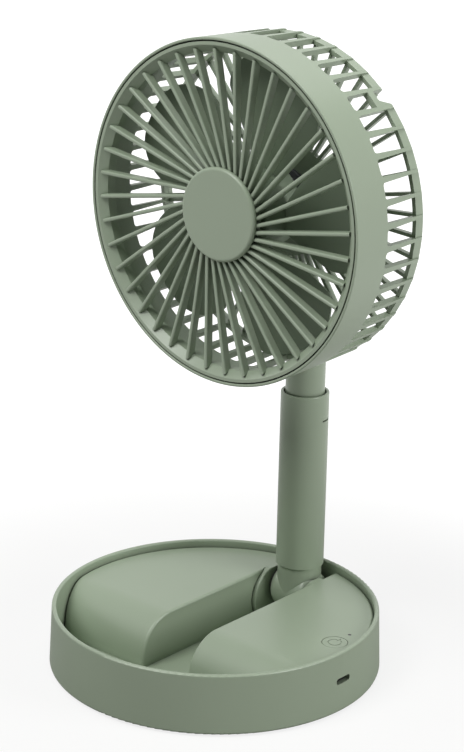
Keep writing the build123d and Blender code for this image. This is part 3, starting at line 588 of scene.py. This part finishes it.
def screw_tree() -> bpy.types.NodeTree:
    """Build the tree that puts a cross-recessed screw on every point.

    Returns:
        The tree, with an input for each size.
    """
    tree = open_tree(
        "cross_recessed_screws",
        {
            "Places": "NodeSocketGeometry",
            "Head Radius": "NodeSocketFloat",
            "Head Height": "NodeSocketFloat",
            "Shank Radius": "NodeSocketFloat",
            "Length": "NodeSocketFloat",
            "Slot Width": "NodeSocketFloat",
            "Slot Depth": "NodeSocketFloat",
            "Turn": "NodeSocketRotation",
            "Finish": "NodeSocketMaterial",
        },
        "Screws",
    )
    given = add_node(tree, "NodeGroupInput").outputs

    # The shank starts at the floor of the recess, so that it doesn't fill it.
    shank_length = add_node(
        tree,
        "ShaderNodeMath",
        settings={"operation": "SUBTRACT"},
        links={0: given["Length"], 1: given["Slot Depth"]},
    ).outputs[0]
    # The depths of the shank's two ends, added up: its middle lies at half of that.
    shank_ends = add_node(
        tree,
        "ShaderNodeMath",
        settings={"operation": "ADD"},
        links={0: given["Length"], 1: given["Slot Depth"]},
    ).outputs[0]
    head, shank = (
        add_node(
            tree,
            "GeometryNodeMeshCylinder",
            values={"Vertices": sides},
            links={"Radius": radius, "Depth": depth},
        ).outputs["Mesh"]
        for sides, radius, depth in (
            (HEAD_SIDES, given["Head Radius"], given["Head Height"]),
            (SHANK_SIDES, given["Shank Radius"], shank_length),
        )
    )

    # All shapes are made round the origin. The head then drops until its top lies there, and the
    # shank until its top lies at the floor of the recess.
    reach, tall, head_drop, shank_drop = (
        add_node(
            tree,
            "ShaderNodeMath",
            settings={"operation": "MULTIPLY"},
            values={1: share},
            links={0: size},
        ).outputs[0]
        for size, share in (
            (given["Head Radius"], SLOT_REACH),
            (given["Slot Depth"], BOTH_SIDES),
            (given["Head Height"], HALF_DOWN),
            (shank_ends, HALF_DOWN),
        )
    )
    sunk_head, sunk_shank = (
        add_node(
            tree,
            "GeometryNodeTransform",
            links={
                "Geometry": shape,
                "Translation": add_node(tree, "ShaderNodeCombineXYZ", links={"Z": drop}).outputs[0],
            },
        ).outputs[0]
        for shape, drop in ((head, head_drop), (shank, shank_drop))
    )

    cut = add_node(
        tree,
        "GeometryNodeMeshBoolean",
        settings={"operation": "DIFFERENCE", "solver": "EXACT"},
        links={"Mesh 1": sunk_head},
    )
    for along_x, along_y in ((reach, given["Slot Width"]), (given["Slot Width"], reach)):
        size = add_node(
            tree, "ShaderNodeCombineXYZ", links={"X": along_x, "Y": along_y, "Z": tall}
        )
        arm = add_node(tree, "GeometryNodeMeshCube", links={"Size": size.outputs[0]})
        tree.links.new(arm.outputs["Mesh"], cut.inputs["Mesh 2"])
    screw = add_node(tree, "GeometryNodeJoinGeometry")
    for shape in (cut.outputs["Mesh"], sunk_shank):
        tree.links.new(shape, screw.inputs[0])
    spread = add_node(
        tree,
        "GeometryNodeInstanceOnPoints",
        links={
            "Points": given["Places"],
            "Instance": screw.outputs[0],
            "Rotation": given["Turn"],
        },
    )
    close_tree(tree, spread.outputs[0], given["Finish"])
    return tree


def strip_tree() -> bpy.types.NodeTree:
    """Build the tree that sets a row of flat contacts side by side, from a point on.

    Returns:
        The tree, with inputs for the count, the step and the strip.
    """
    tree = open_tree(
        "contact_row",
        {
            "Place": "NodeSocketGeometry",
            "Count": "NodeSocketInt",
            "Step": "NodeSocketVector",
            "Strip": "NodeSocketVector",
            "Finish": "NodeSocketMaterial",
        },
        "Contacts",
    )
    given = add_node(tree, "NodeGroupInput").outputs
    line = add_node(
        tree,
        "GeometryNodeMeshLine",
        links={"Count": given["Count"], "Offset": given["Step"]},
    )
    strip = add_node(tree, "GeometryNodeMeshCube", links={"Size": given["Strip"]})
    row = add_node(
        tree,
        "GeometryNodeInstanceOnPoints",
        links={"Points": line.outputs[0], "Instance": strip.outputs["Mesh"]},
    )
    placed = add_node(
        tree,
        "GeometryNodeInstanceOnPoints",
        links={"Points": given["Place"], "Instance": row.outputs[0]},
    )
    close_tree(tree, placed.outputs[0], given["Finish"])
    return tree


def grow(
    name: str, points: list[Vector], tree: bpy.types.NodeTree, inputs: dict[str, Any]
) -> bpy.types.Object:
    """Run a tree on a few points and keep the result as a plain mesh.

    Args:
        name: Name of the piece.
        points: The points that the tree starts from.
        tree: The tree.
        inputs: Values by input name.

    Returns:
        The finished piece, in place, with no modifier.
    """
    seed = bpy.data.meshes.new(name + "_places")
    seed.from_pydata([tuple(p) for p in points], [], [])
    maker = bpy.data.objects.new(name + "_maker", seed)
    bpy.context.scene.collection.objects.link(maker)
    modifier = maker.modifiers.new("make", "NODES")
    modifier.node_group = tree
    for socket in tree.interface.items_tree:
        if socket.name in inputs:
            modifier[socket.identifier] = inputs[socket.name]
    bpy.context.view_layer.update()
    graph = bpy.context.evaluated_depsgraph_get()
    mesh = bpy.data.meshes.new_from_object(maker.evaluated_get(graph), depsgraph=graph)
    maker.modifiers.remove(modifier)
    bpy.data.objects.remove(maker)
    mesh.name = name
    piece = bpy.data.objects.new(name, mesh)
    bpy.context.scene.collection.objects.link(piece)
    return piece


@dataclass
class ScrewSet:
    """Cross-recessed screws that stand for the plain ones of one node.

    Attributes:
        node: The node that they stand for.
        body: The body that they ride on.
        facing: Which way their heads look.
        slot_width_share: Width of the recess, as a share of the head's radius.
        slot_depth_share: Depth of the recess, as a share of the head's height.
        finish: What they are made of.
    """

    node: str
    body: str
    facing: Facing
    slot_width_share: float = 0.3
    slot_depth_share: float = 0.6
    finish: Finish = ZINC_STEEL

    def build(self, tree: bpy.types.NodeTree) -> str:
        """Make the screws in the seats of the plain ones.

        Args:
            tree: The screw tree.

        Returns:
            The name of the new piece.
        """
        sizes = [measure_screw(part, self.facing) for part in loose_parts(self.node)]
        first = sizes[0]
        made_facing, out = Vector(Facing.UP.value), Vector(self.facing.value)
        piece = grow(
            self.node + "_recessed",
            [size.top for size in sizes],
            tree,
            {
                "Head Radius": first.head_radius,
                "Head Height": first.head_height,
                "Shank Radius": first.shank_radius,
                "Length": first.length,
                "Slot Width": first.head_radius * self.slot_width_share,
                "Slot Depth": first.head_height * self.slot_depth_share,
                "Turn": tuple(made_facing.rotation_difference(out).to_euler()),
                "Finish": self.finish.material(),
            },
        )
        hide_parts(self.node)
        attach(piece, self.body)
        return piece.name


@dataclass
class SocketContacts:
    """The row of contacts on the tongue of the charging socket.

    Attributes:
        count: How many there are.
        pitch_mm: From one to the next.
        width_mm: Width of one.
        length_mm: Length of one.
        thickness_mm: How far it stands above the tongue.
        tongue_mm: Thickness of the tongue.
        set_back_mm: From the socket's mouth to the contacts' ends.
    """

    count: int = 12
    pitch_mm: float = 0.5
    width_mm: float = 0.25
    length_mm: float = 4.2
    thickness_mm: float = 0.04
    tongue_mm: float = 0.7
    set_back_mm: float = 2.6

    def build(self) -> str:
        """Lay the contacts on the upper side of the tongue.

        Returns:
            The name of the new piece.
        """
        low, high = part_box("usb_socket")
        middle = (low + high) / 2
        pitch = self.pitch_mm * MM
        start = Vector(
            (
                high[0] - (self.set_back_mm + self.length_mm / 2) * MM,
                middle.y - pitch * (self.count - 1) / 2,
                middle.z + (self.tongue_mm + self.thickness_mm) / 2 * MM,
            )
        )
        piece = grow(
            "socket_contacts",
            [start],
            strip_tree(),
            {
                "Count": self.count,
                "Step": (0.0, pitch, 0.0),
                "Strip": (self.length_mm * MM, self.width_mm * MM, self.thickness_mm * MM),
                "Finish": GOLD.material(),
            },
        )
        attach(piece, "base")
        return piece.name


@dataclass
class CupBase:
    """The round cup with its two pods, its button and what they hold.

    Attributes:
        finishes: Finish by node name.
        contacts: The contacts in the charging socket.
        screws: The screws under the base and on the board.
    """

    finishes: dict[str, Finish] = field(
        default_factory=lambda: {
            "base_shell": SAGE_ABS,
            "left_pod": SAGE_ABS,
            "right_pod": SAGE_ABS,
            "power_button": SAGE_ABS,
            "rubber_feet": GREY_RUBBER,
            "battery_cells": CELL_SLEEVE,
            "battery_cradle": BLACK_NYLON,
            "battery_tabs": NICKEL,
            "control_board": LAMINATE,
            "usb_socket": SOCKET_PAINTED_SHADE,
            "button_switch": SWITCH_PLASTIC,
            "led_lens": LIGHT_PIPE,
        }
    )
    contacts: SocketContacts = field(default_factory=SocketContacts)
    screws: tuple[ScrewSet, ...] = (
        ScrewSet("base_screws", "base", Facing.DOWN),
        ScrewSet("board_screws", "base", Facing.UP),
    )

    def build(self, tree: bpy.types.NodeTree) -> list[str]:
        """Dress the base and add its screws and contacts.

        Args:
            tree: The screw tree.

        Returns:
            The names of the pieces.
        """
        made = [screws.build(tree) for screws in self.screws]
        return dress(self.finishes) + made + [self.contacts.build()]


@dataclass
class FoldingPole:
    """The knuckle, the two tubes and the pole's hinge.

    Attributes:
        finishes: Finish by node name.
        screws: The screws that hold the outer tube.
    """

    finishes: dict[str, Finish] = field(
        default_factory=lambda: {
            "pole_knuckle": SAGE_ABS,
            "outer_tube": SAGE_ABS,
            "mast_tube": SAGE_ABS,
            "mast_head": SAGE_ABS,
            "mast_bush": BLACK_NYLON,
            "mast_foot": BLACK_NYLON,
            "pole_hinge_pin": ZINC_STEEL,
            "pole_hinge_washers": BLACK_NYLON,
            "pole_hinge_clips": ZINC_STEEL,
        }
    )
    screws: tuple[ScrewSet, ...] = (ScrewSet("tube_screw", "pole", Facing.BACK),)

    def build(self, tree: bpy.types.NodeTree) -> list[str]:
        """Dress the pole and add its screws.

        Args:
            tree: The screw tree.

        Returns:
            The names of the pieces.
        """
        return dress(self.finishes) + [screws.build(tree) for screws in self.screws]


@dataclass
class CageHead:
    """The caged head with its grille, its tilt hinge and the motor's fixed side.

    Attributes:
        finishes: Finish by node name.
        screws: The screws of the tilt bracket and of the motor.
    """

    finishes: dict[str, Finish] = field(
        default_factory=lambda: {
            "head_housing": SAGE_ABS,
            "front_grille": SAGE_ABS,
            "hub_cap": SAGE_ABS,
            "tilt_bracket": SAGE_ABS,
            "tilt_caps": SAGE_ABS,
            "tilt_pin": ZINC_STEEL,
            "tilt_hubs": ZINC_STEEL,
            "motor_mount": CAST_ALLOY,
            "motor_bearings": CAN_STEEL,
            "motor_stator": CAN_STEEL,
        }
    )
    screws: tuple[ScrewSet, ...] = (
        ScrewSet("bracket_screws", "head", Facing.BACK),
        ScrewSet("motor_screws", "head", Facing.FRONT),
    )

    def build(self, tree: bpy.types.NodeTree) -> list[str]:
        """Dress the head and add its screws.

        Args:
            tree: The screw tree.

        Returns:
            The names of the pieces.
        """
        return dress(self.finishes) + [screws.build(tree) for screws in self.screws]


@dataclass
class Rotor:
    """The five-bladed impeller and the motor's turning side.

    Attributes:
        finishes: Finish by node name.
    """

    finishes: dict[str, Finish] = field(
        default_factory=lambda: {
            "impeller": BLADE_SAGE_PAINTED_SHADE,
            "rotor_can": CAN_STEEL,
            "magnet_ring": FERRITE,
            "motor_shaft": ZINC_STEEL,
        }
    )

    def build(self) -> list[str]:
        """Dress the rotor and return the names of its pieces."""
        return dress(self.finishes)


def direction(azimuth: float, elevation: float) -> Vector:
    """Point from the fan towards a place around it.

    Args:
        azimuth: Degrees round from the front, towards +X.
        elevation: Degrees above the table.

    Returns:
        A unit vector.
    """
    turn, rise = math.radians(azimuth), math.radians(elevation)
    return Vector(
        (math.sin(turn) * math.cos(rise), -math.cos(turn) * math.cos(rise), math.sin(rise))
    )


@dataclass(frozen=True)
class Softbox:
    """One square lamp that looks at the fan.

    Attributes:
        name: Where it hangs.
        azimuth: Degrees round from the front, towards +X.
        elevation: Degrees above the table.
        size: Its side, in metres.
        power: Its power, in watts.
        distance: From the point that it looks at, in metres.
    """

    name: str
    azimuth: float
    elevation: float
    size: float
    power: float
    distance: float = 1.3

    def build(self, aim: Vector) -> None:
        """Hang the lamp and turn it to the fan.

        Args:
            aim: The point that it looks at.
        """
        lamp = bpy.data.lights.new(self.name, "AREA")
        lamp.size = self.size
        lamp.energy = self.power
        out = direction(self.azimuth, self.elevation)
        holder = bpy.data.objects.new(self.name, lamp)
        holder.location = aim + out * self.distance
        holder.rotation_euler = out.to_track_quat("Z", "Y").to_euler()
        bpy.context.scene.collection.objects.link(holder)


@dataclass
class Studio:
    """White table, white surroundings and soft lamps.

    Attributes:
        aim: The point that the lamps look at, in metres.
        ambient: Strength of the even light that the surroundings give.
        table_colour: Colour of the table's matt paint, which takes the shadow.
        table_size: Side of the table, in metres.
        table_drop: How far the table lies under the feet, in metres.
        table_keep: Share of the matt paint that shows under the fan.
        table_glow: Strength of the white that hides the rest of the table.
        table_near: Within this distance the table is at its most matt, in metres.
        table_far: Beyond this distance the table is all white, in metres.
        lamps: The soft lamps.
    """

    aim: Vector = field(default_factory=lambda: Vector((0.0, 0.0, 0.16)))
    ambient: float = 0.02
    table_colour: str = "#b4b4b2"
    table_size: float = 6.0
    table_drop: float = 0.0002
    table_keep: float = 0.35
    table_glow: float = 1.25
    table_near: float = 0.14
    table_far: float = 0.5
    lamps: tuple[Softbox, ...] = (
        Softbox("overhead", azimuth=10.0, elevation=80.0, size=0.9, power=5.2),
        Softbox("front overhead", azimuth=-12.0, elevation=52.0, size=0.7, power=9.8),
        Softbox("back overhead", azimuth=190.0, elevation=60.0, size=0.8, power=2.5),
        Softbox("left strip", azimuth=-82.0, elevation=20.0, size=0.6, power=1.6),
        Softbox("right strip", azimuth=108.0, elevation=18.0, size=0.6, power=9.3),
    )

    def build(self) -> None:
        """Light the scene and lay the table."""
        bpy.context.scene.view_settings.view_transform = "Standard"
        for lamp in self.lamps:
            lamp.build(self.aim)
        self._surroundings()
        self._table()

    def _surroundings(self) -> None:
        """Show white to the camera and in reflections, and give a weak even light."""
        world = bpy.data.worlds.new("white surroundings")
        bpy.context.scene.world = world
        world.use_nodes = True
        tree = world.node_tree
        tree.nodes.clear()
        path = add_node(tree, "ShaderNodeLightPath").outputs
        shown = add_node(
            tree,
            "ShaderNodeMath",
            settings={"operation": "MAXIMUM"},
            links={0: path["Is Glossy Ray"], 1: path["Is Transmission Ray"]},
        )
        seen = add_node(
            tree,
            "ShaderNodeMath",
            settings={"operation": "MAXIMUM"},
            links={0: path["Is Camera Ray"], 1: shown.outputs[0]},
        )
        even, white = (
            add_node(tree, "ShaderNodeBackground", values={"Color": WHITE, "Strength": strength})
            for strength in (self.ambient, 1.0)
        )
        mix = add_node(
            tree,
            "ShaderNodeMixShader",
            links={0: seen.outputs[0], 1: even.outputs[0], 2: white.outputs[0]},
        )
        add_node(tree, "ShaderNodeOutputWorld", links={"Surface": mix.outputs[0]})

    def _table(self) -> None:
        """Lay a white table that keeps a soft shadow."""
        half, level = self.table_size / 2, -self.table_drop
        signs = ((-1, -1), (1, -1), (1, 1), (-1, 1))
        mesh = bpy.data.meshes.new("table")
        mesh.from_pydata([(x * half, y * half, level) for x, y in signs], [], [(0, 1, 2, 3)])
        mesh.materials.append(self._table_paint())
        table = bpy.data.objects.new("table", mesh)
        bpy.context.scene.collection.objects.link(table)

    def _table_paint(self) -> bpy.types.Material:
        """Mix matt paint near the fan with plain white farther off.

        Returns:
            The table's material.
        """
        paint = bpy.data.materials.new("white table paint")
        paint.use_nodes = True
        tree = paint.node_tree
        tree.nodes.clear()
        path = add_node(tree, "ShaderNodeLightPath").outputs
        where = add_node(tree, "ShaderNodeTexCoord").outputs["Object"]
        away = add_node(
            tree, "ShaderNodeVectorMath", settings={"operation": "LENGTH"}, links={0: where}
        )
        far = add_node(
            tree,
            "ShaderNodeMapRange",
            settings={"interpolation_type": "SMOOTHSTEP"},
            values={"From Min": self.table_near, "From Max": self.table_far},
            links={"Value": away.outputs["Value"]},
        ).outputs["Result"]
        # The camera sees some white near the fan too, and reflections only farther off.
        near_too = add_node(
            tree,
            "ShaderNodeMath",
            settings={"operation": "MULTIPLY_ADD"},
            values={1: self.table_keep, 2: 1 - self.table_keep},
            links={0: far},
        )
        seen = add_node(
            tree,
            "ShaderNodeMath",
            settings={"operation": "MULTIPLY"},
            links={0: path["Is Camera Ray"], 1: near_too.outputs[0]},
        )
        shown = add_node(
            tree,
            "ShaderNodeMath",
            settings={"operation": "MAXIMUM"},
            links={0: path["Is Glossy Ray"], 1: path["Is Transmission Ray"]},
        )
        shown_far = add_node(
            tree,
            "ShaderNodeMath",
            settings={"operation": "MULTIPLY"},
            links={0: shown.outputs[0], 1: far},
        )
        share = add_node(
            tree,
            "ShaderNodeMath",
            settings={"operation": "MAXIMUM"},
            links={0: seen.outputs[0], 1: shown_far.outputs[0]},
        )
        matt = add_node(tree, "ShaderNodeBsdfDiffuse", values={"Color": linear(self.table_colour)})
        white = add_node(tree, "ShaderNodeEmission", values={"Strength": self.table_glow})
        mix = add_node(
            tree,
            "ShaderNodeMixShader",
            links={0: share.outputs[0], 1: matt.outputs[0], 2: white.outputs[0]},
        )
        add_node(tree, "ShaderNodeOutputMaterial", links={"Surface": mix.outputs[0]})
        return paint


@dataclass
class Viewpoint:
    """The camera at the photograph's viewing angle.

    Attributes:
        azimuth: Degrees round from the front, towards +X.
        elevation: Degrees above the table.
        roll: Degrees that the camera is tipped to one side.
        distance: From the target, in metres.
        focal_px: Focal length, in pixels of the photograph.
        target: The point in the middle of the picture, in metres.
    """

    azimuth: float = 40.953
    elevation: float = 18.677
    roll: float = 1.2
    distance: float = 1.1
    focal_px: float = 2190.7
    target: Vector = field(default_factory=lambda: Vector((0.00456, 0.00396, 0.15696)))

    def build(self) -> None:
        """Place the camera and make it the scene's own."""
        lens = bpy.data.cameras.new("photo camera")
        lens.sensor_fit = "VERTICAL"
        lens.sensor_height = SENSOR_MM
        lens.lens = self.focal_px * SENSOR_MM / PHOTO_HEIGHT_PX
        turn, tip = math.radians(self.azimuth), math.radians(self.roll)
        back = direction(self.azimuth, self.elevation)
        level = Vector((math.cos(turn), math.sin(turn), 0))
        upright = back.cross(level)
        right = level * math.cos(tip) + upright * math.sin(tip)
        up = upright * math.cos(tip) - level * math.sin(tip)
        axes = Matrix((right, up, back)).transposed().to_4x4()
        holder = bpy.data.objects.new("photo camera", lens)
        holder.matrix_world = Matrix.Translation(self.target + back * self.distance) @ axes
        bpy.context.scene.collection.objects.link(holder)
        bpy.context.scene.camera = holder


def main() -> None:
    """Build the fan piece by piece, then its light and its camera."""
    logging.basicConfig(level=logging.INFO, format="%(name)s: %(message)s")
    tree = screw_tree()
    for title, names in (
        ("cup base", CupBase().build(tree)),
        ("folding pole", FoldingPole().build(tree)),
        ("cage head", CageHead().build(tree)),
        ("rotor", Rotor().build()),
    ):
        for name in names:
            log.info("%s: %s", title, name)
    Studio().build()
    Viewpoint().build()


if __name__ == "__main__":
    main()
